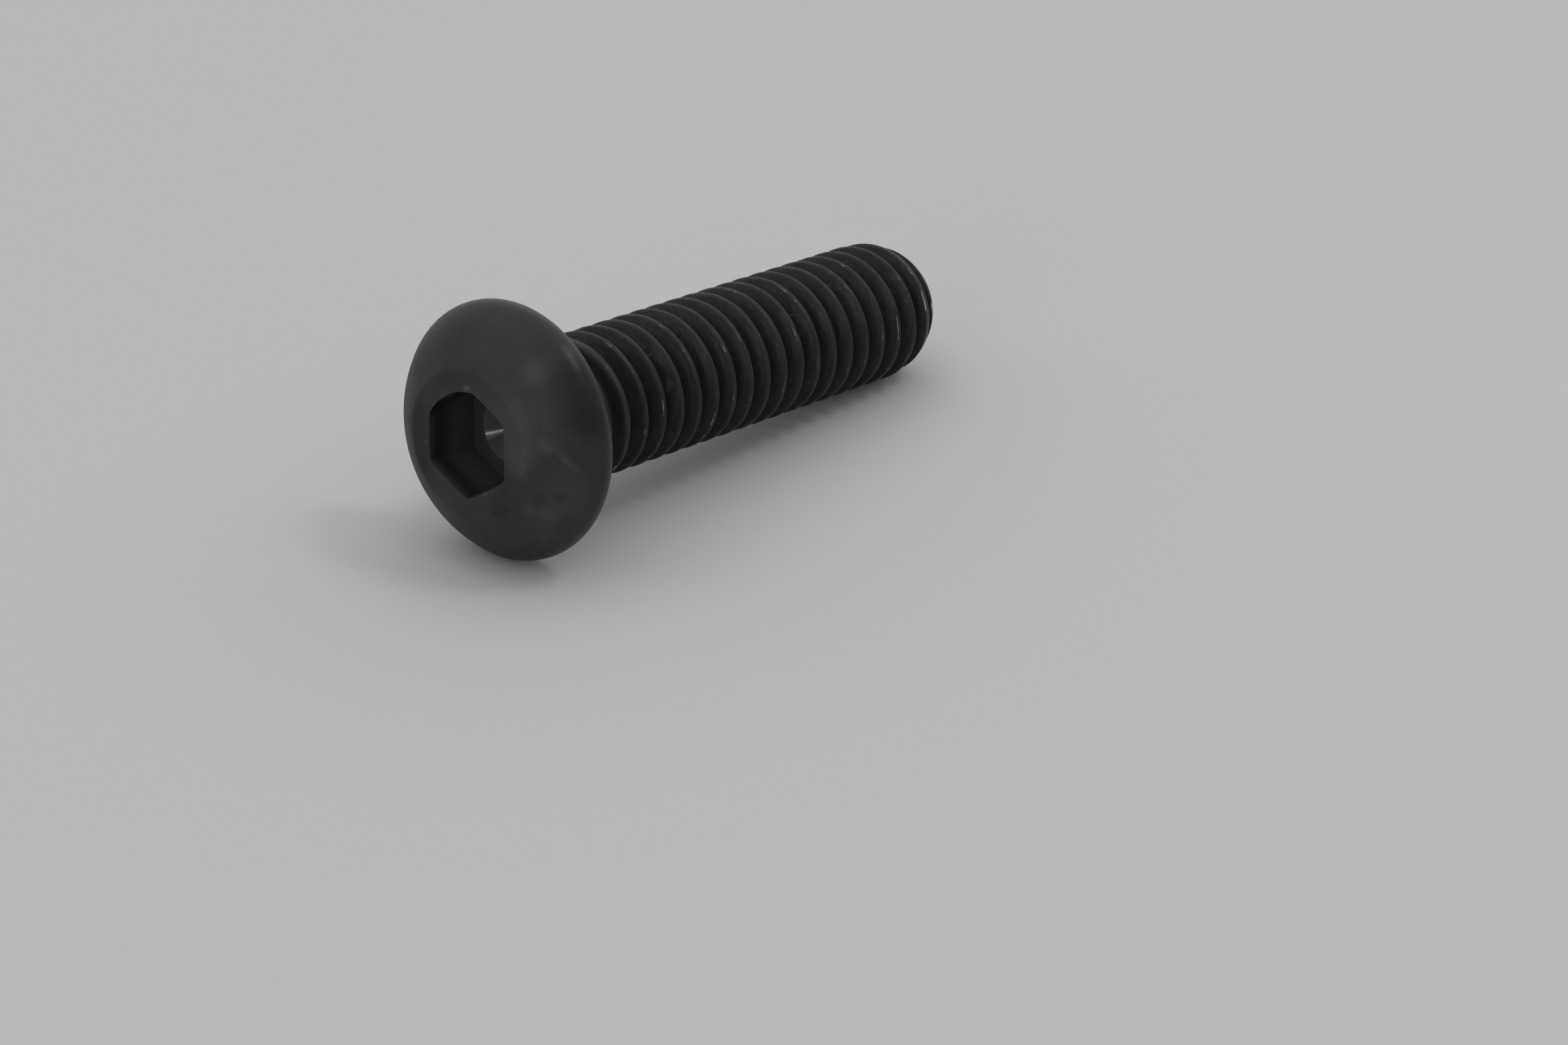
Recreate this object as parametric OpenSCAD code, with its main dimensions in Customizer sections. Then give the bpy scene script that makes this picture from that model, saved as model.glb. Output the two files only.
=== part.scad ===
// Button head socket screw, 5/16-18 UNC x 1-1/4 in, one solid piece of black steel.
// A low domed head with a hexagon socket, a short waisted neck and a rolled right-hand thread.
// It lies on its side, on the rim of the head and on one thread crest near the point.
// Each section below is drawn as [radius, distance along the axis], with the bearing face of
// the head at distance 0 and the point of the screw in the positive direction.

/* [Head] */
// Diameter of the head
head_d = 13.8; // [12.4:0.1:16]
// Height of the head over its bearing face
head_h = 4.2; // [3.9:0.1:5]
// Diameter of the flat crown round the socket
crown_d = 7.7; // [6.8:0.1:8.2]
// Slope of the dome where it would meet the crown's edge, in degrees
dome_slope = 24.5; // [16:0.5:26]
// Radius that softens the edge of the crown
crown_round = 0.6; // [0.2:0.1:0.9]
// Radius of the rounded rim
rim_r = 1.15; // [0.7:0.05:1.3]

/* [Socket] */
// Hexagon socket, across its flats
socket_af = 4.76; // [4:0.01:5]
// Depth of the socket's six flat walls
socket_depth = 3; // [2:0.1:3.2]
// Width of the worn bevel round the socket's mouth
mouth_bevel = 0.12; // [0.05:0.01:0.3]
// Diameter of the drilled cone in the socket's floor
drill_d = 3.4; // [2:0.1:3.8]
// Full angle of that cone, in degrees
drill_angle = 130; // [118:1:160]
// Turn of the socket about the screw's axis, in degrees
socket_turn = 56; // [0:1:59]

/* [Neck] */
// Diameter of the neck, which is that of the bar before its thread was rolled
neck_d = 7.1; // [6.8:0.05:7.3]
// Diameter of the fillet where it meets the bearing face
fillet_d = 7.8; // [7.5:0.05:8.2]
// Length of the fillet along the neck
fillet_len = 1.5; // [1:0.1:1.8]

/* [Thread] */
// Length from the bearing face to the end of the point
screw_len = 31.3; // [20:0.1:60]
// Diameter over the crests
thread_d = 7.84; // [7.7:0.01:7.95]
// Distance from one crest to the next
pitch = 1.4111; // [1.35:0.0001:1.5]
// Depth from crest to root
thread_depth = 0.87; // [0.6:0.01:0.9]
// Width of the flat at the root
root_w = 0.17; // [0.1:0.01:0.2]
// Angle between the two flanks, in degrees
flank_angle = 60; // [50:1:62]
// Distance from the bearing face at which the groove begins to bite
groove_start = 1.8; // [1.8:0.1:3]
// Turns over which the groove reaches its full depth
runout_turns = 1.25; // [0.5:0.05:2]
// Turn of the thread about the screw's axis, in degrees
thread_turn = 280; // [0:1:359]

/* [Point] */
// Diameter of the flat end
point_d = 4.7; // [4:0.1:5.5]
// Length over which the point swells to the full thread
point_len = 3.4; // [2:0.1:4]

/* [Hidden] */
$fn = 96;
steel_black = [0.16, 0.16, 0.165];

head_r = head_d / 2;
crown_r = crown_d / 2;
neck_r = neck_d / 2;
fillet_top_r = fillet_d / 2;
crest_r = thread_d / 2;
root_r = crest_r - thread_depth;
point_r = point_d / 2;

// The rim is an arc that lies against the bearing face. The dome is one arc from the edge of the
// crown to the rim's arc, tangent to it, and would meet the crown at the stated slope. A third
// arc, tangent to the crown and the dome, softens that edge.
rim_centre = [head_r - rim_r, rim_r];
crown_edge = [crown_r, head_h];
slope_normal = [sin(dome_slope), cos(dome_slope)];
rim_to_crown = crown_edge - rim_centre;
dome_r = (rim_to_crown * rim_to_crown - rim_r * rim_r) / (2 * (slope_normal * rim_to_crown - rim_r));
dome_centre = crown_edge - dome_r * slope_normal;
rim_way = (rim_centre - dome_centre) / norm(rim_centre - dome_centre);
soft_h = head_h - crown_round;
soft_rise = soft_h - dome_centre[1];
soft_centre = [dome_centre[0] + sqrt(pow(dome_r - crown_round, 2) - soft_rise * soft_rise), soft_h];
soft_way = (soft_centre - dome_centre) / norm(soft_centre - dome_centre);

// Radius of an arc that runs tangent to the axis at one end and has moved off by `rise` over `run`
function arc_radius(run, rise) = (run * run + rise * rise) / (2 * rise);
fillet_arc = arc_radius(fillet_len, fillet_top_r - neck_r);
point_arc = arc_radius(point_len, crest_r - point_r);
point_start = screw_len - point_len;
runout_len = runout_turns * pitch;
full_thread = groove_start + runout_len;

// The groove's cutter stands a little proud of the crests, and ends past the point
steps_per_turn = 30;
cutter_clear = 0.12;
cutter_r = crest_r + cutter_clear;
cutter_lift = neck_r - root_r + cutter_clear;
groove_len = screw_len + pitch - groove_start;
groove_steps = ceil(groove_len / pitch * steps_per_turn);

// At rest the floor is the line that touches both the rim's arc and the point's arc
rest_run = point_start + rim_centre[1];
rest_drop = rim_centre[0] - (crest_r - point_arc);
rest_tilt = atan2(rest_drop, rest_run) - asin((point_arc - rim_r) / norm([rest_run, rest_drop]));
rest_height = rim_r + rim_centre[0] * cos(rest_tilt) - rim_centre[1] * sin(rest_tilt);
rear_x = -(soft_centre * [sin(rest_tilt), cos(rest_tilt)] + crown_round);
front_x = screw_len * cos(rest_tilt) + point_r * sin(rest_tilt);

module crown_section() {
    reach = 2 * crown_round;
    square([soft_centre[0], head_h]);
    intersection() {
        translate(soft_centre) circle(r = crown_round);
        polygon([soft_centre, soft_centre + [0, reach], soft_centre + reach * soft_way]);
    }
}

module dome_section() {
    intersection() {
        translate(dome_centre) circle(r = dome_r);
        polygon([
            [soft_centre[0], 0],
            [rim_centre[0], 0],
            rim_centre,
            rim_centre + 2 * rim_r * rim_way,
            soft_centre + 2 * crown_round * soft_way,
            soft_centre
        ]);
    }
}

module rim_section() {
    reach = 2 * rim_r;
    intersection() {
        translate(rim_centre) circle(r = rim_r);
        polygon([
            rim_centre,
            rim_centre + [0, -reach],
            rim_centre + [reach, -reach],
            rim_centre + reach * rim_way
        ]);
    }
}

module head() {
    mirror([0, 0, 1]) rotate_extrude() {
        crown_section();
        dome_section();
        rim_section();
    }
}

module fillet_section() {
    difference() {
        square([fillet_top_r, fillet_len]);
        translate([neck_r + fillet_arc, fillet_len]) circle(r = fillet_arc);
    }
}

module point_section() {
    translate([0, point_start]) intersection() {
        square([crest_r, point_len]);
        translate([crest_r - point_arc, 0]) circle(r = point_arc);
    }
}

// The shank as it would be with its groove filled
module shank() {
    rotate_extrude() {
        fillet_section();
        polygon([
            [0, fillet_len],
            [neck_r, fillet_len],
            [crest_r, full_thread],
            [crest_r, point_start],
            [0, point_start]
        ]);
        point_section();
    }
}

// One helical groove, swept from the neck past the point. Along its first turns the cutter
// sinks from just over the neck to the root, so the groove and its crests fade in.
module thread_groove() {
    function root_at(i) = root_r + cutter_lift * max(0, 1 - i / steps_per_turn / runout_turns);
    function half_width(root) = root_w / 2 + (cutter_r - root) * tan(flank_angle / 2);
    function corner(i, radius, offset) =
        let (a = 360 * i / steps_per_turn)
        [radius * cos(a), radius * sin(a), groove_start + pitch * i / steps_per_turn + offset];
    points = [
        for (i = [0 : groove_steps])
            let (root = root_at(i))
            each [
                corner(i, root, -root_w / 2),
                corner(i, cutter_r, -half_width(root)),
                corner(i, cutter_r, half_width(root)),
                corner(i, root, root_w / 2)
            ]
    ];
    last = 4 * groove_steps;
    sides = [
        for (i = [0 : groove_steps - 1], j = [0 : 3])
            let (a = 4 * i + j, b = 4 * i + (j + 1) % 4)
            each [[a, b, b + 4], [a, b + 4, a + 4]]
    ];
    polyhedron(points, concat([[3, 2, 1, 0]], sides, [[last, last + 1, last + 2, last + 3]]));
}

// Six flat walls with a bevel at the mouth, and the cone that the drill left in the floor
module socket() {
    function corner_r(across_flats) = across_flats / 2 / cos(30);
    bevel_top = socket_af + 4 * mouth_bevel;
    translate([0, 0, -head_h]) {
        cylinder(h = socket_depth, r = corner_r(socket_af), $fn = 6);
        translate([0, 0, -mouth_bevel])
            cylinder(h = 2 * mouth_bevel, r1 = corner_r(bevel_top), r2 = corner_r(socket_af), $fn = 6);
        translate([0, 0, socket_depth])
            cylinder(h = drill_d / 2 / tan(drill_angle / 2), r1 = drill_d / 2, r2 = 0);
    }
}

module screw() {
    color(steel_black)
    translate([-(rear_x + front_x) / 2, 0, rest_height])
    rotate([0, 90 + rest_tilt, 0])
    difference() {
        union() {
            head();
            shank();
        }
        rotate([0, 0, thread_turn]) thread_groove();
        rotate([0, 0, socket_turn]) socket();
    }
}

screw();
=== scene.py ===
"""Looks for the button head socket screw: one finely meshed screw with a worn black oxide
finish, on a plain pale floor in soft light.

The screw is meshed in its own frame, in millimetres: z runs along the axis from the bearing
face (z = 0) to the point, x turns down towards the floor and y is the row frame's y. Its sizes
are those of the CAD source, and a matrix lays it down in the row frame.
"""

import math

import bpy
import numpy as np
from mathutils import Matrix, Vector


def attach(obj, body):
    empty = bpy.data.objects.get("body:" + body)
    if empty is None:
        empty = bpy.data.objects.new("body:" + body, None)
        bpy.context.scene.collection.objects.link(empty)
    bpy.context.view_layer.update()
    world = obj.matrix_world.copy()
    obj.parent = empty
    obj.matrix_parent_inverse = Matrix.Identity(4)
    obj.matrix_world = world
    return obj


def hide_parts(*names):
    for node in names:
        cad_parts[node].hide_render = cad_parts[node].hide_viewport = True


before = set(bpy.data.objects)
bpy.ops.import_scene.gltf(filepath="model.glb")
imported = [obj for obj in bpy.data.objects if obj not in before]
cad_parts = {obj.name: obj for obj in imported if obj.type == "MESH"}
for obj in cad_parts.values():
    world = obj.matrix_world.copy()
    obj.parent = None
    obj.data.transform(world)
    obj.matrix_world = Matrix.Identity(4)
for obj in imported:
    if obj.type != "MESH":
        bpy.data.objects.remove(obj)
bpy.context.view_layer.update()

MM = 0.001
TAU = 2 * math.pi

# ---------------------------------------------------------------- sizes

# Sizes of the CAD source, in millimetres and degrees
HEAD_R = 6.9
HEAD_H = 4.2
CROWN_R = 3.85
CROWN_ROUND = 0.6
DOME_SLOPE = 24.5
RIM_R = 1.15
SOCKET_AF = 4.76
SOCKET_DEPTH = 3.0
DRILL_R = 1.7
DRILL_ANGLE = 130.0
SOCKET_TURN = 56.0
NECK_R = 3.55
FILLET_TOP_R = 3.9
FILLET_LEN = 1.5
SCREW_LEN = 31.3
CREST_R = 3.92
PITCH = 1.4111
THREAD_DEPTH = 0.87
ROOT_W = 0.17
FLANK_ANGLE = 60.0
GROOVE_START = 1.8
RUNOUT_TURNS = 1.25
THREAD_TURN = 280.0
POINT_R = 2.35
POINT_LEN = 3.4
CUTTER_CLEAR = 0.12

# Softening that the source leaves out
CREST_SOFT = 0.15  # depth over which crest and flank run into each other
ROOT_SOFT = 0.06
END_ROUND = 0.12
CORNER_SOFT = 0.03  # depth over which the walls of the socket run into each other

# The worn mouth of the socket, from the wall to the crown: part of the way out, and how deep
LIP = [
    (0.0, 0.8),
    (0.08, 0.56),
    (0.24, 0.36),
    (0.46, 0.2),
    (0.66, 0.1),
    (0.8, 0.05),
    (0.91, 0.016),
    (1.0, 0.0),
]
MOUTH_WEAR = 0.32  # how far out the wear reaches
# The wear comes and goes by this much round the mouth, over patches of about this size
MOUTH_WAVE = 0.02
WAVE_CELL = 0.9
WAVE_R = 2.4
WAVE_SEED = 5
# The worn corners end on a circle, which comes closer in on one side of the mouth
CORNER_CIRCLE = 2.99
CORNER_CLOSER = 0.28
CLOSER_MIDDLE = 146.0
CLOSER_SPREAD = 46.0
CORNER_START = 0.02  # how far outside the wall's corner that circle begins
CORNER_BLEND = 0.02  # blend of walls and circle at the wall, which grows towards the crown
CORNER_BLEND_GROWTH = 0.1

# Tool marks of the drill in the socket's floor
CONE_RINGS = 24
CONE_RIPPLE = 0.0006
RIPPLE_PACE = 2.4

# Spacing of the mesh
COLUMNS = 144
FLOOR_PARTS = (0.04, 0.3, 0.7, 0.96)
WALL_RISES = (0.0, 0.04, 0.8, 1.6)
CROWN_PARTS = (0.12, 0.3, 0.5, 0.7, 0.86)
SOFT_STEPS, DOME_STEPS, RIM_STEPS, BEARING_STEPS = 8, 18, 22, 7
SHANK_LOW = 1.2  # where the rows that follow the thread begin
FILLET_ROWS = (0.03, 0.15, 0.35, 0.6, 0.9, SHANK_LOW)
SHANK_HIGH = SCREW_LEN - END_ROUND
ROW_GAP = 0.02
TURNS_BEFORE = 3  # turns of rows that begin before the bearing face and are cut off
TURNS_SPARE = 8
END_TILTS = (20, 45, 70, 90)
END_PARTS = (0.85, 0.6, 0.3)
SHARP_ANGLE = 38
END_MARGIN = 0.01  # points nearer to the end than this belong to its flat face
# Places of the rows in one pitch: 0 is the middle of a crest and 0.5 the middle of a root
HALF_ROWS = [0.0, 0.035, 0.068, 0.098, 0.13, 0.18, 0.27, 0.36, 0.415, 0.455]
ROW_PLACES = HALF_ROWS + [0.5] + [1 - p for p in reversed(HALF_ROWS[1:])]
NO_GROOVE = 99.0  # a radius that is larger than any on the shank

# The finish tells the socket from the crown by these margins round the mouth
SOCKET_MARGIN = 0.7
SOCKET_BELOW = 0.03
SOCKET_REACH = 2.0

# Scales of the rolling marks along and across the thread, in cells of one millimetre
LAY_ALONG = 0.8
LAY_ACROSS = 2.2


def arc_radius(run, rise):
    """Radius of an arc that starts along the axis and has moved off by rise over run."""
    return (run**2 + rise**2) / (2 * rise)


ROOT_R = CREST_R - THREAD_DEPTH
POINT_START = SCREW_LEN - POINT_LEN
POINT_ARC = arc_radius(POINT_LEN, CREST_R - POINT_R)
FILLET_ARC = arc_radius(FILLET_LEN, FILLET_TOP_R - NECK_R)
FULL_THREAD = GROOVE_START + RUNOUT_TURNS * PITCH
TAN_FLANK = math.tan(math.radians(FLANK_ANGLE / 2))
FLOOR_Z = -HEAD_H + SOCKET_DEPTH
CONE_H = DRILL_R / math.tan(math.radians(DRILL_ANGLE / 2))
CORNER_R = SOCKET_AF / 2 / math.cos(TAU / 12)
RIM_CENTRE = (HEAD_R - RIM_R, RIM_R)

# ---------------------------------------------------------------- tones and marks

# Tones of the black oxide, as linear colours
CROWN_TONE = (0.0305, 0.0303, 0.0298)
CROWN_DULL = (0.019, 0.019, 0.0191)
# The rim's tone is painted shade: darker than the crown's
SHADED_RIM_TONE = (0.021, 0.021, 0.0213)
# The shank's tones are darker than the head's: partly an oilier finish, partly painted shade
THREAD_TONE = (0.0088, 0.0088, 0.0091)
THREAD_DULL = (0.0148, 0.0146, 0.0142)
DUST_TONE = (0.027, 0.0252, 0.0222)
# A painted sheen along the edges of the crests
CREST_SHEEN_TONE = (0.034, 0.0335, 0.033)
FLOOR_TONE = (0.033, 0.033, 0.0345)
# The socket's mouth is painted shade, and its deeper walls painted light
WALL_PAINTED_LIGHT_TONE = (0.05, 0.05, 0.0525)
MOUTH_SHADE_TONE = (0.005, 0.005, 0.0053)
GLINT_TONE = (0.1, 0.1, 0.098)
PAINTED_LIGHT_TONE = (0.05, 0.0495, 0.0485)
PAINTED_SHADE_TONE = (0.006, 0.006, 0.0061)
SCUFF_AND_HIGHLIGHT_TONE = (0.05, 0.05, 0.049)
SMEAR_TONE = (0.018, 0.018, 0.0185)
RUST_TONE = (0.046, 0.0385, 0.028)
WORN_TONE = (0.36, 0.355, 0.345)

# How much each layer of the finish covers of what lies below it, at most
MOTTLE_COVER = 0.6
GRAIN_COVER = 0.15
PAINTED_LIGHT_COVER = 0.5
PAINTED_SHADE_COVER = 0.55
DUST_COVER = 0.5
SCUFF_AND_HIGHLIGHT_COVER = 0.7
GLINT_COVER = 0.45
SMEAR_COVER = 0.6
RUST_COVER = 0.8
WORN_METALLIC = 0.9

# Gloss: roughness of crown and rim, and what roughens or polishes them
CROWN_ROUGH = 0.52
RIM_ROUGH = 0.36
SHANK_ROUGHER = 0.14
GRAIN_ROUGHER = 0.1
LAY_GLOSS = 0.16
WORN_GLOSS = 0.12
CONE_GLOSS = 0.24
OXIDE_IOR = 1.3
SPECULAR = 0.5
SHADE_DIMS = 0.17
BUMP_STRENGTH = 0.35
BUMP_HEIGHT = 0.00001  # in metres

# Stretches of the axis over which one zone of the finish turns into the next
SHANK_BEGINS = (-0.1, 0.9)
SIDE_BEGINS = (-3.4, -0.9)
THREAD_BEGINS = (1.9, 3.2)
WALL_BEGINS = (-4.0, -2.2)
FLOOR_BEGINS = (-1.22, -1.2)
CONE_BEGINS = (-1.5, -1.2)
WORN_BEGINS = (3.4, 4.2)
WORN_ENDS = (SCREW_LEN - 0.7, SCREW_LEN - 0.2)
# Where the painted sheen on the crest's edge lies, and where bare steel shows: in the depth of the
# groove, and on the side of the crest
SHEEN_DEPTH, SHEEN_SIDE = (0.05, 0.1), (-0.5, -0.25)
WORN_DEPTH, WORN_SIDE = (0.03, 0.07), (-0.5, -0.36)

# Noises of the finish: cells in one millimetre, detail, roughness
BUMP_NOISE = (22.0, 3.0, 0.6)
SMUDGE_NOISE = (2.2, 3.0, 0.5)
SMUDGE = 0.5  # how far the outlines of the marks stray
# Patches: the same three, and where in the noise a patch starts and is full
MOTTLE = (0.45, 6.0, 0.62, 0.35, 0.65)
GRAIN = (5.0, 4.0, 0.65, 0.3, 0.7)
ROLLED = (1.0, 3.0, 0.6, 0.32, 0.68)
DUST_WIDE = (0.4, 3.0, 0.55, 0.44, 0.6)
DUST_FINE = (2.6, 4.0, 0.65, 0.42, 0.62)
CREST_SHEEN_PATCHES = (1.1, 3.0, 0.55, 0.3, 0.7)
SCUFF_AND_HIGHLIGHT_BREAKS = (7.0, 3.0, 0.6, 0.3, 0.6)
SPECKS_WIDE = (0.5, 3.0, 0.6, 0.56, 0.7)
SPECKS_FINE = (3.1, 3.0, 0.6, 0.5, 0.68)
RUST_BREAKS = (4.0, 3.0, 0.6, 0.35, 0.6)
WORN_WIDE = (0.6, 2.0, 0.6, 0.57, 0.67)
WORN_FINE = (2.4, 2.0, 0.5, 0.45, 0.62)
# Strength between and on such patches, where it isn't 0 and 1
CREST_SHEEN_STRENGTH = (0.15, 0.8)
SCUFF_AND_HIGHLIGHT_STRENGTH = (0.4, 1.0)
RUST_STRENGTH = (0.35, 1.0)

# Marks on the screw, in its own millimetres: start, end, full within, gone beyond
# Scuffs; the last mark is a painted highlight along the crown's edge beside the socket
SCUFFS_AND_HIGHLIGHT = [
    ((2.4, -4.1, -3.7), (2.6, -3.95, -3.7), 0.0, 0.5),
    ((2.65, -4.6, -3.3), (2.95, -5.05, -2.8), 0.0, 0.5),
    ((-1.2, -4.8, -3.6), (-1.0, -5.0, -3.5), 0.0, 0.6),
    ((-0.75, -5.5, -3.1), (0.0, -6.1, -2.55), 0.0, 0.34),
    ((-4.6, -3.2, -3.0), (-4.5, -3.4, -3.0), 0.0, 1.1),
    ((-0.85, -3.85, -4.15), (0.45, -3.95, -4.15), 0.0, 0.34),
]
SMEARS = [
    ((1.75, -4.7, -3.5), (1.9, -4.6, -3.5), 0.05, 0.4),
    ((1.65, -5.4, -3.0), (1.5, -5.5, -2.9), 0.05, 0.4),
    ((-2.75, 2.2, -4.2), (-3.2, 1.4, -4.2), 0.1, 0.6),
    ((3.1, -5.4, -2.2), (4.4, -4.6, -1.9), 0.2, 0.9),
]
GLINTS = [
    ((0.73, 2.8, -4.2), (0.71, 2.8, -4.2), 0.04, 0.14),
    ((-2.88, 0.2, -4.2), (-2.98, -0.1, -4.2), 0.0, 0.2),
    ((2.3, -1.5, -4.2), (2.33, -1.5, -4.2), 0.0, 0.12),
]
# Painted shade on the rim, where the specular level is also dimmed
RIM_SHADE = ((-4.4, -5.2, -1.8), (-2.6, -6.0, -2.0), 0.2, 1.9)
# Painted light: a pool of light on the crown beside the socket, a painted highlight along the rim,
# and painted light on the lower dome
PAINTED_LIGHT_PATCHES = [
    ((-2.3, -3.0, -4.15), (-0.4, -3.5, -4.15), 0.2, 1.5),
    ((-5.6, -4.0, -1.35), (-4.9, -4.8, -1.43), 0.0, 0.45),
    ((1.6, -5.6, -2.8), (3.5, -4.9, -2.6), 0.4, 2.4),
]
# Painted shade on the head's upper rim and on the crown
PAINTED_SHADE_PATCHES = [
    ((-5.6, 2.2, -2.6), (-3.4, 4.4, -3.0), 0.3, 2.8),
    ((-0.5, 3.5, -4.1), (1.8, 3.1, -4.1), 0.2, 1.4),
    ((1.2, -2.9, -4.2), (2.8, -2.4, -4.2), 0.1, 1.0),
]
RUST_SPOTS = [
    ((-1.35, -3.2, 7.65), (-1.2, -3.2, 7.7), 0.1, 0.42),
    ((-2.6, -2.35, 7.8), (-2.3, -2.6, 7.8), 0.1, 0.45),
    ((1.45, -3.2, 8.15), (1.95, -2.9, 8.75), 0.1, 0.5),
    ((1.1, -3.3, 6.8), (1.2, -3.3, 6.9), 0.1, 0.4),
]

# ---------------------------------------------------------------- floor, lamps and camera, in metres

FLOOR_HALF = 1.5
FLOOR_GREY = (0.487, 0.497, 0.491)
FLOOR_ROUGH = 0.8
FLOOR_SPECULAR = 0.2
# Azimuth and elevation of each lamp as seen from the screw, its distance, size and power
LAMPS = {
    "key": (-55, 57, 0.8, 0.17, 0.75),
    "fill": (-166, 13, 0.9, 0.4, 1.1),
    "window": (-174, 4, 0.7, 0.03, 0.12),
}
ROOM_COLOUR = (0.98, 0.987, 0.99)
ROOM_BRIGHT_WAY = (0.2, 0.25, 0.947)
ROOM_LEVELS = {"From Min": -0.3, "From Max": 0.9, "To Min": 0.27, "To Max": 1.0}
CAMERA_PLACE = (-0.148045, -0.131057, 0.09362)
CAMERA_WAY = (0.68582, 0.5778, -0.44249)
LENS = 91.84
SENSOR_WIDTH = 36
CLIP_START, CLIP_END = 0.01, 10


def noise3(points, cell, seed):
    """Smooth value noise from -1 to 1 at an array of points, with cells of that size."""
    q = np.asarray(points, float) / cell
    base = np.floor(q).astype(np.int64)
    f = q - base
    f = f * f * (3 - 2 * f)

    def lattice(i, j, k):
        """A number from -1 to 1 that belongs to that corner of the lattice, by a hash."""
        h = i * 374761393 + j * 668265263 + k * 2147483647 + seed * 1274126177
        h &= 0xFFFFFFFF
        h = ((h ^ (h >> 13)) * 1274126177) & 0xFFFFFFFF
        h = (h ^ (h >> 16)) & 0xFFFFFF
        return h / float(0xFFFFFF) * 2 - 1

    total = 0.0
    for dx in (0, 1):
        wx = f[..., 0] if dx else 1 - f[..., 0]
        for dy in (0, 1):
            wy = f[..., 1] if dy else 1 - f[..., 1]
            for dz in (0, 1):
                wz = f[..., 2] if dz else 1 - f[..., 2]
                corner = lattice(base[..., 0] + dx, base[..., 1] + dy, base[..., 2] + dz)
                total = total + wx * wy * wz * corner
    return total


def soft_min(a, b, blend):
    """The smaller of a and b, which run into each other where they differ by less than blend."""
    h = np.clip(blend - np.abs(a - b), 0, None) / blend
    return np.minimum(a, b) - h * h * blend / 4


# ---------------------------------------------------------------- shank


def core_radius(z):
    """Radius of the shank as it would be with its groove filled."""
    fillet = np.sqrt(FILLET_ARC**2 - np.clip(FILLET_LEN - z, 0, None) ** 2)
    fillet = NECK_R + FILLET_ARC - fillet
    swell = np.clip((z - FILLET_LEN) / (FULL_THREAD - FILLET_LEN), 0, 1)
    cone = NECK_R + (CREST_R - NECK_R) * swell
    point = np.sqrt(POINT_ARC**2 - np.clip(z - POINT_START, 0, POINT_LEN) ** 2)
    point = CREST_R - POINT_ARC + point
    return np.minimum(np.where(z < FILLET_LEN, fillet, cone), point)


def groove_radius(z, angle):
    """Radius left by the nearest turns of the groove, large where there is none."""
    turns = (z - GROOVE_START) / PITCH
    phase = (angle - math.radians(THREAD_TURN)) / TAU
    near = np.round(turns - phase)
    cutter_lift = NECK_R - ROOT_R + CUTTER_CLEAR
    best = np.full(np.shape(z), NO_GROOVE)
    for step in (-1, 0, 1):
        at = near + step + phase
        off = np.abs(turns - at) * PITCH
        root = ROOT_R + cutter_lift * np.clip(1 - at / RUNOUT_TURNS, 0, None)
        rise = (off - ROOT_W / 2) / TAN_FLANK
        rise = 0.5 * (rise + np.sqrt(rise * rise + ROOT_SOFT**2))
        best = np.minimum(best, np.where(at > 0, root + rise, NO_GROOVE))
    return best


def shank_radius(z, angle):
    """Radius of the threaded shank, with its crests softened."""
    return soft_min(core_radius(z), groove_radius(z, angle), CREST_SOFT)


def shank_rows(angle):
    """Heights of the rows on one column, which follow the helix."""
    first_turn = (angle - math.radians(THREAD_TURN)) / TAU - 0.5 - TURNS_BEFORE
    first = GROOVE_START + PITCH * first_turn
    turns = int(SCREW_LEN / PITCH) + TURNS_SPARE
    rows = np.array([first + PITCH * (n + p) for n in range(turns) for p in ROW_PLACES])
    return rows[(rows > SHANK_LOW + ROW_GAP) & (rows < SHANK_HIGH - ROW_GAP)]


# ---------------------------------------------------------------- head


def arc(centre, radius, start, stop, count):
    """Points (radius, height) on an arc, by the tilt of its normal from the axis, in degrees."""
    tilts = np.radians(np.linspace(start, stop, count))
    return [(centre[0] + radius * math.sin(t), centre[1] + radius * math.cos(t)) for t in tilts]


def head_outline():
    """The head's outline from its crown to the fillet, as (radius, z)."""
    rim_centre = np.array(RIM_CENTRE)
    crown_edge = np.array([CROWN_R, HEAD_H])
    slope = math.radians(DOME_SLOPE)
    normal = np.array([math.sin(slope), math.cos(slope)])
    chord = crown_edge - rim_centre
    dome_r = (chord @ chord - RIM_R**2) / (2 * (normal @ chord - RIM_R))
    dome_centre = crown_edge - dome_r * normal
    way = rim_centre - dome_centre
    join = math.degrees(math.atan2(way[0], way[1]))
    inner_h = HEAD_H - CROWN_ROUND
    reach = dome_r - CROWN_ROUND
    inner_r = dome_centre[0] + math.sqrt(reach**2 - (inner_h - dome_centre[1]) ** 2)
    leave = math.degrees(math.atan2(inner_r - dome_centre[0], inner_h - dome_centre[1]))
    points = arc((inner_r, inner_h), CROWN_ROUND, 0, leave, SOFT_STEPS)
    points += arc(dome_centre, dome_r, leave, join, DOME_STEPS)[1:]
    points += arc(rim_centre, RIM_R, join, 180, RIM_STEPS)[1:]
    points += [(r, 0.0) for r in np.linspace(rim_centre[0], FILLET_TOP_R, BEARING_STEPS)[1:]]
    return [(r, -h) for r, h in points]


def hexagon(angles):
    """Radius of the socket's walls at each angle, with softened corners."""
    from_flat = (angles - math.radians(SOCKET_TURN)) % (TAU / 6) - TAU / 12
    flat = SOCKET_AF / 2 / np.cos(from_flat)
    return soft_min(flat, CORNER_R - CORNER_SOFT / 2, CORNER_SOFT)


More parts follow.
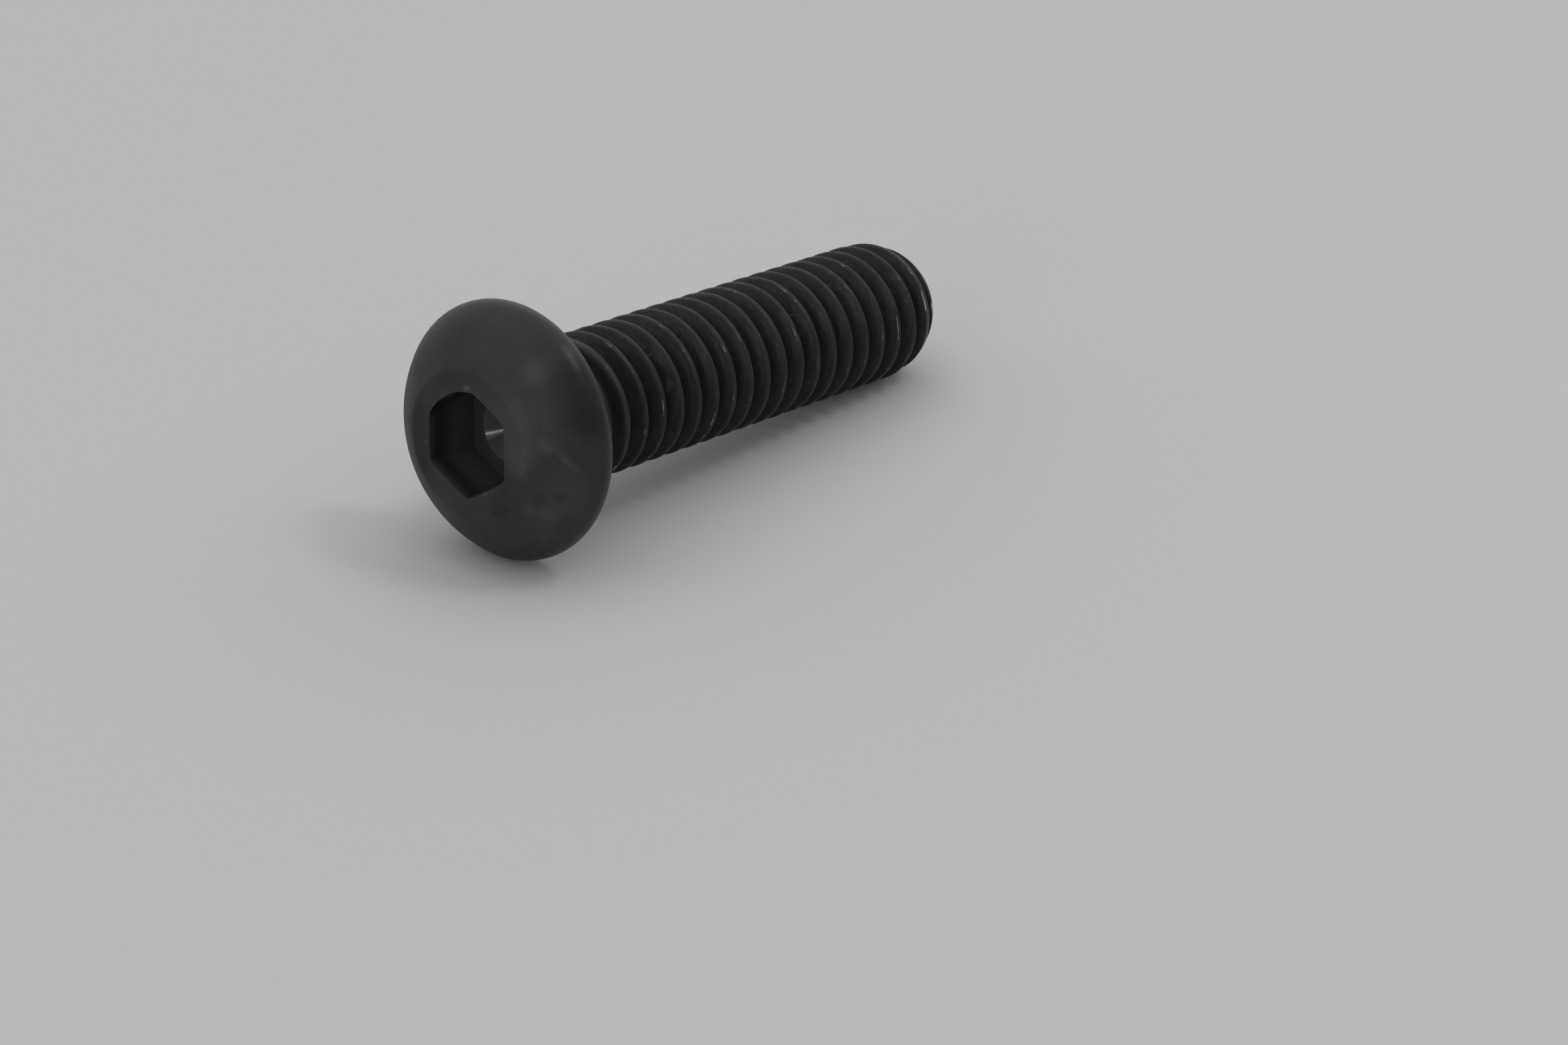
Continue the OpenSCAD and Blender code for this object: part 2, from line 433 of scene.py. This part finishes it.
def mouth_radius(angles, part):
    """Radius of the worn mouth, part of the way from the wall to the crown."""
    circle = np.stack([np.cos(angles), np.sin(angles), 0 * angles], axis=-1)
    wear = MOUTH_WEAR + MOUTH_WAVE * noise3(WAVE_R * circle, WAVE_CELL, WAVE_SEED)
    off = (np.degrees(angles) - CLOSER_MIDDLE + 180) % 360 - 180
    corner = CORNER_R + CORNER_START
    limit = CORNER_CIRCLE - CORNER_CLOSER * np.exp(-((off / CLOSER_SPREAD) ** 4))
    return soft_min(
        hexagon(angles) + wear * part,
        corner + (limit - corner) * part,
        CORNER_BLEND + CORNER_BLEND_GROWTH * part,
    )


def socket_rings(angles):
    """Rings from round the apex of the drilled cone to the crown, as (radius, z) arrays."""
    rings = []
    for k in range(1, CONE_RINGS + 1):
        ripple = CONE_RIPPLE * math.sin(k * RIPPLE_PACE)
        z = FLOOR_Z + CONE_H * (1 - k / CONE_RINGS) + ripple
        rings.append((np.full_like(angles, DRILL_R * k / CONE_RINGS), z))
    wall = hexagon(angles)
    for part in FLOOR_PARTS:
        rings.append((DRILL_R + (wall - DRILL_R) * part, FLOOR_Z))
    for rise in WALL_RISES:
        rings.append((wall, FLOOR_Z - rise))
    for part, sink in LIP:
        rings.append((mouth_radius(angles, part), -HEAD_H + sink))
    mouth = rings[-1][0]
    crown_end = head_outline()[0][0]
    for part in CROWN_PARTS:
        rings.append((mouth + (crown_end - mouth) * part, -HEAD_H))
    return rings


# ---------------------------------------------------------------- mesh


def zip_columns(column_a, column_b):
    """Faces between two columns of (heights, vertices) whose rows climb with the thread."""
    za, ia = column_a
    zb, ib = column_b
    lead = PITCH / COLUMNS
    same = 1e-6
    faces = []
    i = j = 0
    while i < len(ia) - 1 or j < len(ib) - 1:
        can_a, can_b = i < len(ia) - 1, j < len(ib) - 1
        if can_a and can_b and abs(za[i + 1] + lead - zb[j + 1]) < same:
            faces.append((ia[i], ia[i + 1], ib[j + 1], ib[j]))
            i, j = i + 1, j + 1
        elif can_b and (not can_a or zb[j + 1] < za[i + 1] + lead):
            faces.append((ia[i], ib[j + 1], ib[j]))
            j += 1
        else:
            faces.append((ia[i], ia[i + 1], ib[j]))
            i += 1
    return faces


def build_screw():
    """The whole screw as one closed mesh, and its points in millimetres."""
    angles = math.radians(SOCKET_TURN) + TAU / COLUMNS * np.arange(COLUMNS)
    cos_a, sin_a = np.cos(angles), np.sin(angles)
    verts, faces = [], []

    def add_ring(radius, z):
        start = len(verts)
        radius = np.broadcast_to(radius, (COLUMNS,))
        z = np.broadcast_to(z, (COLUMNS,))
        verts.extend(zip(radius * cos_a, radius * sin_a, z))
        return list(range(start, start + COLUMNS))

    def join(a, b):
        for k in range(COLUMNS):
            n = (k + 1) % COLUMNS
            faces.append((a[k], b[k], b[n], a[n]))

    # The socket, the crown, the dome, the rim and the bearing face, from the cone's apex on
    verts.append((0.0, 0.0, FLOOR_Z + CONE_H))
    head_rings = [(np.full_like(angles, r), z) for r, z in head_outline()]
    ring = None
    for radius, z in socket_rings(angles) + head_rings:
        new = add_ring(radius, z)
        if ring is None:
            for k in range(COLUMNS):
                faces.append((0, new[k], new[(k + 1) % COLUMNS]))
        else:
            join(ring, new)
        ring = new

    # The fillet under the head
    for z in FILLET_ROWS:
        new = add_ring(core_radius(np.float64(z)), z)
        join(ring, new)
        ring = new

    # The threaded shank: every column has its own rows, and neighbours are zipped together
    rows = []
    for k in range(COLUMNS):
        z = shank_rows(angles[k])
        r = shank_radius(z, angles[k])
        start = len(verts)
        verts.extend(zip(r * cos_a[k], r * sin_a[k], z))
        rows.append((z, list(range(start, start + len(z)))))
    top_r = core_radius(np.float64(SHANK_HIGH))
    top = add_ring(top_r, SHANK_HIGH)
    columns = []
    for k, (z, ids) in enumerate(rows):
        heights = np.concatenate([[SHANK_LOW], z, [SHANK_HIGH]])
        columns.append((heights, [ring[k], *ids, top[k]]))
    for k in range(COLUMNS):
        faces.extend(zip_columns(columns[k], columns[(k + 1) % COLUMNS]))

    # The flat end with its soft edge
    ring = top
    for tilt in np.radians(END_TILTS):
        inward = END_ROUND * (1 - math.cos(tilt))
        new = add_ring(top_r - inward, SHANK_HIGH + END_ROUND * math.sin(tilt))
        join(ring, new)
        ring = new
    for part in END_PARTS:
        new = add_ring(top_r * part, SCREW_LEN)
        join(ring, new)
        ring = new
    verts.append((0.0, 0.0, SCREW_LEN))
    for k in range(COLUMNS):
        faces.append((ring[k], len(verts) - 1, ring[(k + 1) % COLUMNS]))

    points = np.array(verts, float)
    mesh = bpy.data.meshes.new("screw_body")
    mesh.from_pydata((points * MM).tolist(), [], faces)
    mesh.update()
    mesh.validate()
    return mesh, points


def store(mesh, name, kind, values):
    """Keep a value or a vector on each point of the mesh, for the finish to read."""
    attribute = mesh.attributes.new(name, kind, "POINT")
    field = "vector" if kind == "FLOAT_VECTOR" else "value"
    attribute.data.foreach_set(field, values.astype(np.float32).ravel())


def store_places(mesh, points):
    """Keep what the finish has to know of each point: where it lies on the screw."""
    radius = np.hypot(points[:, 0], points[:, 1])
    z = points[:, 2]
    # How deep in the groove each point lies: 0 on a crest and 1 in a root
    depth = np.clip((core_radius(z) - radius) / THREAD_DEPTH, 0, 1)
    on_flank = (z > SHANK_LOW) & (z < SCREW_LEN - END_MARGIN)
    store(mesh, "groove_depth", "FLOAT", np.where(on_flank, depth, 0))
    # Which side of its crest each point is on: below 0 on the side of the head
    around = np.arctan2(points[:, 1], points[:, 0]) - math.radians(THREAD_TURN)
    turn_part = (z - GROOVE_START) / PITCH - around / TAU - 0.5
    store(mesh, "thread_side", "FLOAT", np.sin(TAU * turn_part))
    # Coordinates that run fast across the thread and slowly along it, for the rolling marks. On
    # the flat end they calm down towards the axis, where the turns of the thread would meet.
    lay = LAY_ALONG * points
    across = LAY_ACROSS * np.clip(radius / POINT_R, 0, 1)
    lay[:, 0] += across * np.cos(TAU * turn_part)
    lay[:, 1] += across * np.sin(TAU * turn_part)
    store(mesh, "thread_lay", "FLOAT_VECTOR", lay)
    inside = (z < FLOOR_Z + SOCKET_REACH) & (radius < SOCKET_AF / 2 + SOCKET_MARGIN)
    inside &= z > -HEAD_H + SOCKET_BELOW
    store(mesh, "in_socket", "FLOAT", inside)
    store(mesh, "screw_place", "FLOAT_VECTOR", points)


def rest_matrix():
    """Lays the screw down: the floor touches the rim's arc and the point's arc."""
    run, drop = POINT_START + RIM_R, RIM_CENTRE[0] - (CREST_R - POINT_ARC)
    tilt = math.atan2(drop, run) - math.asin((POINT_ARC - RIM_R) / math.hypot(run, drop))
    height = RIM_R + RIM_CENTRE[0] * math.cos(tilt) - RIM_CENTRE[1] * math.sin(tilt)
    soft_r, soft_h = head_outline()[0][0], HEAD_H - CROWN_ROUND
    rear_x = -(soft_r * math.sin(tilt) + soft_h * math.cos(tilt) + CROWN_ROUND)
    front_x = SCREW_LEN * math.cos(tilt) + POINT_R * math.sin(tilt)
    move = Matrix.Translation(Vector((-(rear_x + front_x) / 2, 0, height)) * MM)
    return move @ Matrix.Rotation(math.pi / 2 + tilt, 4, "Y")


mesh, points = build_screw()
mesh.shade_smooth()
mesh.set_sharp_from_angle(angle=math.radians(SHARP_ANGLE))
store_places(mesh, points)
screw = bpy.data.objects.new("screw_body", mesh)
bpy.context.scene.collection.objects.link(screw)
mesh.transform(rest_matrix())

# ---------------------------------------------------------------- finish

material = bpy.data.materials.new("black_oxide_steel")
material.use_nodes = True
nodes, links = material.node_tree.nodes, material.node_tree.links
nodes.clear()


def node(kind, **settings):
    """A new shader node with those settings."""
    made = nodes.new(kind)
    for key, value in settings.items():
        setattr(made, key, value)
    return made


def wire(made, terms):
    """Give a node its inputs in order: each is a socket, a number or a vector."""
    for n, term in enumerate(terms):
        if isinstance(term, (int, float, tuple)):
            made.inputs[n].default_value = term
        else:
            links.new(term, made.inputs[n])
    return made


def math_node(operation, *terms):
    return wire(node("ShaderNodeMath", operation=operation), terms).outputs[0]


def vector_math(operation, *terms):
    return wire(node("ShaderNodeVectorMath", operation=operation), terms).outputs[0]


def times(a, b):
    return math_node("MULTIPLY", a, b)


def plus(a, b):
    return math_node("ADD", a, b)


def minus(a, b):
    return math_node("SUBTRACT", a, b)


def combine(operation, sockets):
    """One value from all the sockets, by a chain of Math nodes."""
    total = sockets[0]
    for socket in sockets[1:]:
        total = math_node(operation, total, socket)
    return total


def ramp(value, low, high, out_low=0.0, out_high=1.0):
    """Smooth step of a socket from out_low at low to out_high at high."""
    made = node("ShaderNodeMapRange", interpolation_type="SMOOTHSTEP")
    links.new(value, made.inputs["Value"])
    made.inputs["From Min"].default_value = low
    made.inputs["From Max"].default_value = high
    made.inputs["To Min"].default_value = out_low
    made.inputs["To Max"].default_value = out_high
    return made.outputs["Result"]


def mix(factor, a, b):
    """Colour mix; a and b are sockets or colours."""
    made = node("ShaderNodeMix", data_type="RGBA")
    links.new(factor, made.inputs[0])
    for socket, term in ((made.inputs[6], a), (made.inputs[7], b)):
        if isinstance(term, tuple):
            socket.default_value = (*term, 1)
        else:
            links.new(term, socket)
    return made.outputs[2]


def stored(name):
    """A node that reads what the mesh keeps under that name."""
    return node("ShaderNodeAttribute", attribute_name=name)


def noise(scale, detail, roughness, source):
    """The outputs of a noise over those coordinates: scale is cells in one millimetre."""
    made = node("ShaderNodeTexNoise")
    made.inputs["Scale"].default_value = scale
    made.inputs["Detail"].default_value = detail
    made.inputs["Roughness"].default_value = roughness
    links.new(source, made.inputs["Vector"])
    return made.outputs


place = stored("screw_place").outputs["Vector"]
thread_lay = stored("thread_lay").outputs["Vector"]
groove = stored("groove_depth").outputs["Fac"]
side = stored("thread_side").outputs["Fac"]
in_socket = stored("in_socket").outputs["Fac"]
along = wire(node("ShaderNodeSeparateXYZ"), [place]).outputs["Z"]

# Marks lie a little off their plain outlines, as if the surface had been smudged
shift = vector_math("SUBTRACT", noise(*SMUDGE_NOISE, place)["Color"], (0.5, 0.5, 0.5))
scaled = vector_math("MULTIPLY", shift, (SMUDGE, SMUDGE, SMUDGE))
smudged = vector_math("ADD", place, scaled)


def patches(pattern, strength=(0.0, 1.0), source=place):
    """Soft patches of one of the noises named above."""
    scale, detail, roughness, low, high = pattern
    return ramp(noise(scale, detail, roughness, source)["Fac"], low, high, *strength)


def mark(start, end, inner, outer):
    """1 near the line from start to end on the screw, and 0 past the outer distance."""
    line = Vector(end) - Vector(start)
    from_start = vector_math("SUBTRACT", smudged, start)
    dot = node("ShaderNodeVectorMath", operation="DOT_PRODUCT")
    wire(dot, [from_start, tuple(line / line.length**2)])
    part = node("ShaderNodeClamp")
    links.new(dot.outputs["Value"], part.inputs["Value"])
    on_line = node("ShaderNodeCombineXYZ")
    wire(on_line, [times(part.outputs[0], line[n]) for n in range(3)])
    off = node("ShaderNodeVectorMath", operation="LENGTH")
    wire(off, [vector_math("SUBTRACT", from_start, on_line.outputs[0])])
    return ramp(off.outputs["Value"], inner, outer, 1.0, 0.0)


def marks(spots):
    """1 on any of those marks."""
    return combine("MAXIMUM", [mark(*spot) for spot in spots])


on_shank = ramp(along, *SHANK_BEGINS)
on_side = ramp(along, *SIDE_BEGINS)
grain = patches(GRAIN)
rolled = patches(ROLLED, source=thread_lay)
rim_shade = mark(*RIM_SHADE)

# The head: mottled oxide, its rim painted darker as shade, and patches of painted light and painted
# shade
mottle = plus(times(patches(MOTTLE), MOTTLE_COVER), times(grain, GRAIN_COVER))
tone = mix(mottle, mix(on_side, CROWN_TONE, SHADED_RIM_TONE), CROWN_DULL)
# Patches of painted light
tone = mix(times(marks(PAINTED_LIGHT_PATCHES), PAINTED_LIGHT_COVER), tone, PAINTED_LIGHT_TONE)
# Painted shade: the rim's and these patches
painted_shade = math_node("MAXIMUM", rim_shade, marks(PAINTED_SHADE_PATCHES))
tone = mix(times(painted_shade, PAINTED_SHADE_COVER), tone, PAINTED_SHADE_TONE)

# The shank: oxide darker than the head's, partly an oilier finish and partly painted shade, with
# rolling marks along the thread, and dust
dust = times(patches(DUST_WIDE), patches(DUST_FINE))
shank_tone = mix(rolled, THREAD_TONE, THREAD_DULL)
shank_tone = mix(times(dust, DUST_COVER), shank_tone, DUST_TONE)
tone = mix(on_shank, tone, shank_tone)

# The socket: painted shade on the worn mouth, painted light on the deeper walls, and a floor
wall = mix(ramp(along, *WALL_BEGINS), MOUTH_SHADE_TONE, WALL_PAINTED_LIGHT_TONE)
socket_tone = mix(ramp(along, *FLOOR_BEGINS), wall, FLOOR_TONE)
tone = mix(in_socket, tone, socket_tone)

# A painted sheen along the crests' edges, scuffs with a painted highlight on the crown's edge,
# glints, smears and rust
crest_sheen = combine(
    "MULTIPLY",
    [
        ramp(groove, *SHEEN_DEPTH, 1.0, 0.0),
        ramp(side, *SHEEN_SIDE, 1.0, 0.0),
        ramp(along, *THREAD_BEGINS),
    ],
)
tone = mix(times(crest_sheen, patches(CREST_SHEEN_PATCHES, CREST_SHEEN_STRENGTH)), tone, CREST_SHEEN_TONE)
# Scuffs, and a painted highlight on the crown's edge
scuffs_and_highlight = times(marks(SCUFFS_AND_HIGHLIGHT), patches(SCUFF_AND_HIGHLIGHT_BREAKS, SCUFF_AND_HIGHLIGHT_STRENGTH))
tone = mix(times(scuffs_and_highlight, SCUFF_AND_HIGHLIGHT_COVER), tone, SCUFF_AND_HIGHLIGHT_TONE)
tone = mix(times(marks(GLINTS), GLINT_COVER), tone, GLINT_TONE)
tone = mix(times(marks(SMEARS), SMEAR_COVER), tone, SMEAR_TONE)
specks = times(patches(SPECKS_WIDE), patches(SPECKS_FINE))
rust = times(marks(RUST_SPOTS), patches(RUST_BREAKS, RUST_STRENGTH))
rust = math_node("MAXIMUM", rust, times(specks, on_shank))
tone = mix(times(rust, RUST_COVER), tone, RUST_TONE)

# Bare steel shows in places on the edge of the crest that looks towards the head
worn = combine(
    "MULTIPLY",
    [
        ramp(groove, *WORN_DEPTH, 1.0, 0.0),
        ramp(side, *WORN_SIDE, 1.0, 0.0),
        ramp(along, *WORN_BEGINS),
        ramp(along, *WORN_ENDS, 1.0, 0.0),
        patches(WORN_WIDE),
        patches(WORN_FINE),
    ],
)
tone = mix(worn, tone, WORN_TONE)

# Gloss, and a fine bump that follows the rolling marks
rough = plus(
    ramp(on_side, 0.0, 1.0, CROWN_ROUGH, RIM_ROUGH),
    ramp(on_shank, 0.0, 1.0, 0.0, SHANK_ROUGHER),
)
rough = plus(rough, times(minus(grain, 0.5), GRAIN_ROUGHER))
rough = minus(rough, times(times(rolled, on_shank), LAY_GLOSS))
rough = minus(rough, times(worn, WORN_GLOSS))
drilled = times(in_socket, ramp(along, *CONE_BEGINS))
rough = minus(rough, times(drilled, CONE_GLOSS))
height = plus(noise(*BUMP_NOISE, place)["Fac"], times(rolled, on_shank))
height = times(height, minus(1.0, in_socket))
bump = node("ShaderNodeBump")
bump.inputs["Strength"].default_value = BUMP_STRENGTH
bump.inputs["Distance"].default_value = BUMP_HEIGHT
links.new(height, bump.inputs["Height"])

shader = node("ShaderNodeBsdfPrincipled")
shader.inputs["IOR"].default_value = OXIDE_IOR
links.new(tone, shader.inputs["Base Color"])
links.new(times(worn, WORN_METALLIC), shader.inputs["Metallic"])
links.new(rough, shader.inputs["Roughness"])
links.new(minus(SPECULAR, times(rim_shade, SHADE_DIMS)), shader.inputs["Specular IOR Level"])
links.new(bump.outputs["Normal"], shader.inputs["Normal"])
output = node("ShaderNodeOutputMaterial")
links.new(shader.outputs["BSDF"], output.inputs["Surface"])
screw.data.materials.append(material)

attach(screw, "root")
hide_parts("screw")

# ---------------------------------------------------------------- floor


def floor_material():
    made = bpy.data.materials.new("floor_grey")
    made.use_nodes = True
    inputs = made.node_tree.nodes["Principled BSDF"].inputs
    inputs["Base Color"].default_value = (*FLOOR_GREY, 1)
    inputs["Roughness"].default_value = FLOOR_ROUGH
    inputs["Specular IOR Level"].default_value = FLOOR_SPECULAR
    return made


floor_mesh = bpy.data.meshes.new("floor")
floor_corners = [(-1, -1), (1, -1), (1, 1), (-1, 1)]
floor_mesh.from_pydata(
    [(x * FLOOR_HALF, y * FLOOR_HALF, 0) for x, y in floor_corners], [], [(0, 1, 2, 3)]
)
floor_mesh.materials.append(floor_material())
floor = bpy.data.objects.new("floor", floor_mesh)
bpy.context.scene.collection.objects.link(floor)

# ---------------------------------------------------------------- light and camera


def area_light(name, azimuth, elevation, distance, size, power):
    """A soft square lamp that looks at the screw from that direction."""
    lamp = bpy.data.lights.new(name, "AREA")
    lamp.size = size
    lamp.energy = power
    a, e = math.radians(azimuth), math.radians(elevation)
    way = Vector((math.cos(a) * math.cos(e), math.sin(a) * math.cos(e), math.sin(e)))
    holder = bpy.data.objects.new(name, lamp)
    holder.location = way * distance
    holder.rotation_euler = way.to_track_quat("Z", "Y").to_euler()
    bpy.context.scene.collection.objects.link(holder)


for lamp_name, lamp_settings in LAMPS.items():
    area_light(lamp_name, *lamp_settings)

# The room is brighter on the far side of the screw and overhead
world = bpy.data.worlds.new("room")
bpy.context.scene.world = world
world.use_nodes = True
room, room_links = world.node_tree.nodes, world.node_tree.links
direction = room.new("ShaderNodeTexCoord")
facing = room.new("ShaderNodeVectorMath")
facing.operation = "DOT_PRODUCT"
facing.inputs[1].default_value = ROOM_BRIGHT_WAY
room_links.new(direction.outputs["Generated"], facing.inputs[0])
level = room.new("ShaderNodeMapRange")
level.interpolation_type = "SMOOTHSTEP"
room_links.new(facing.outputs["Value"], level.inputs["Value"])
for level_name, value in ROOM_LEVELS.items():
    level.inputs[level_name].default_value = value
background = room["Background"]
background.inputs["Color"].default_value = (*ROOM_COLOUR, 1)
room_links.new(level.outputs["Result"], background.inputs["Strength"])

camera_data = bpy.data.cameras.new("camera")
camera_data.sensor_width = SENSOR_WIDTH
camera_data.lens = LENS
camera_data.clip_start = CLIP_START
camera_data.clip_end = CLIP_END
camera = bpy.data.objects.new("camera", camera_data)
camera.location = CAMERA_PLACE
camera.rotation_euler = Vector(CAMERA_WAY).to_track_quat("-Z", "Y").to_euler()
bpy.context.scene.collection.objects.link(camera)
bpy.context.scene.camera = camera
bpy.context.scene.view_settings.view_transform = "Standard"
